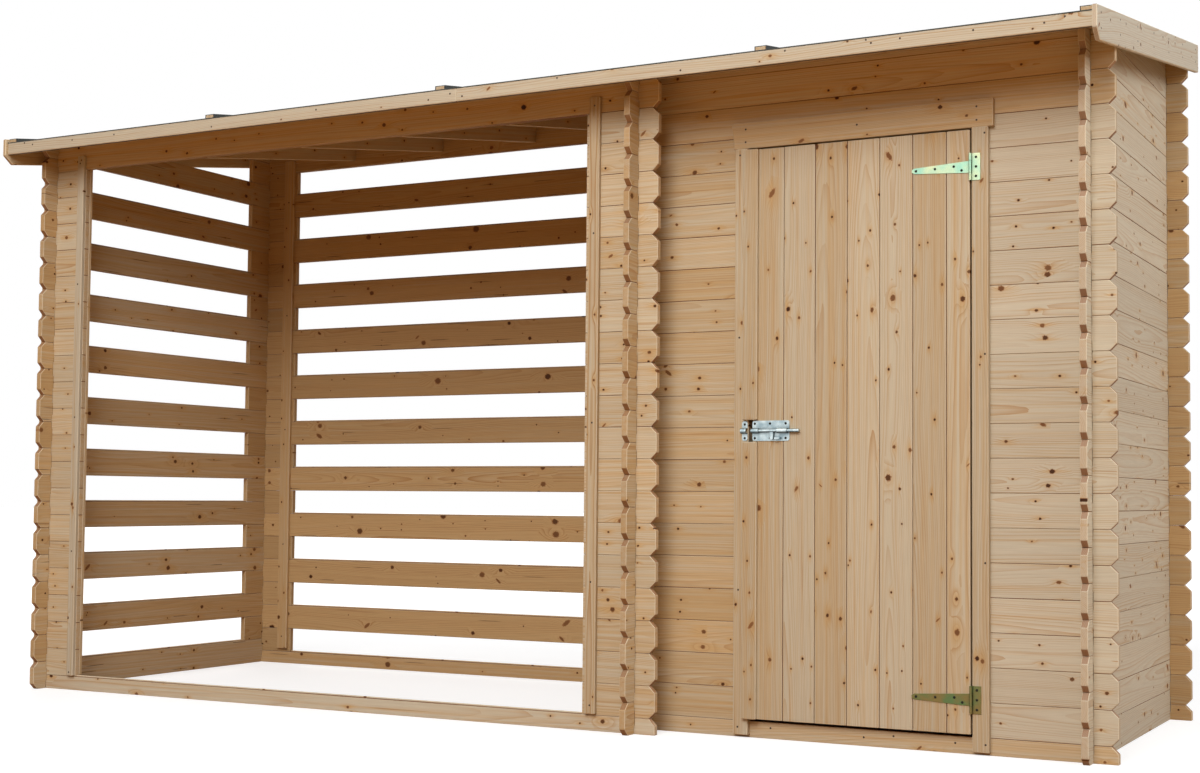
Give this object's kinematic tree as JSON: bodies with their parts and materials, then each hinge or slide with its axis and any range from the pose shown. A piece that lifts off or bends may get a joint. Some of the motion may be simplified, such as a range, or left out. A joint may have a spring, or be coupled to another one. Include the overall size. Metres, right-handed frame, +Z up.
{
  "type": "log store shed",
  "caption": "Lean-to log shed with a slatted, open-fronted log store on the left and a boarded door on T-hinges with a padlock bolt on the right",
  "frame": {"origin": "middle of the outline on the ground, under the walls", "axes": "X runs along the front from the log store on the left to the shed on the right, Y runs from the front to the back, and Z runs up"},
  "size_m": [3.775, 1.415, 2.1401],
  "materials": {
    "spruce": "planed, untreated spruce with small knots",
    "felt": "mineral roofing felt",
    "yellow_zinc": "yellow passivated zinc",
    "bright_zinc": "bright zinc"
  },
  "bodies": {
    "root": {"store_sill": "spruce", "store_header": "spruce", "store_front_left_stubs": "spruce", "store_front_right_stubs": "spruce", "left_wall_slats": "spruce", "left_wall_stubs": "spruce", "partition_wall": "spruce", "shed_front_left_logs": "spruce", "shed_front_right_logs": "spruce", "shed_front_top_logs": "spruce", "shed_threshold": "spruce", "right_wall": "spruce", "back_wall_long_logs": "spruce", "back_wall_corner_stubs": "spruce", "back_wall_shed_logs": "spruce", "roof_deck": "spruce", "roof_battens": "spruce", "rafters": "spruce", "front_fascia_left": "spruce", "front_fascia_right": "spruce", "rear_fascia": "spruce", "left_bargeboard": "spruce", "right_bargeboard": "spruce", "left_opening_trim": "spruce", "right_opening_trim": "spruce", "left_opening_post": "spruce", "right_opening_post": "spruce", "back_corner_battens": "spruce", "door_jamb_left": "spruce", "door_jamb_right": "spruce", "door_head_board": "spruce", "roof_felt": "felt", "upper_hinge_plate": "yellow_zinc", "lower_hinge_plate": "yellow_zinc", "bolt_keep": "bright_zinc"},
    "door": {"door_boards": "spruce", "door_closing_strip": "spruce", "door_ledges": "spruce", "upper_hinge_strap": "yellow_zinc", "lower_hinge_strap": "yellow_zinc", "bolt_plate": "bright_zinc", "padlock_staple": "bright_zinc"},
    "door_bolt": {"bolt_rod": "bright_zinc"}
  },
  "joints": [
    {"name": "door_hinge", "type": "hinge", "parent": "root", "child": "door", "pos_m": [1.486, -0.447, 0.147], "axis": [0, 0, 1], "range_deg": [0, 150]},
    {"name": "bolt_slide", "type": "slide", "parent": "door", "child": "door_bolt", "axis": [-1, 0, 0], "range_m": [0, 0.03]}
  ]
}
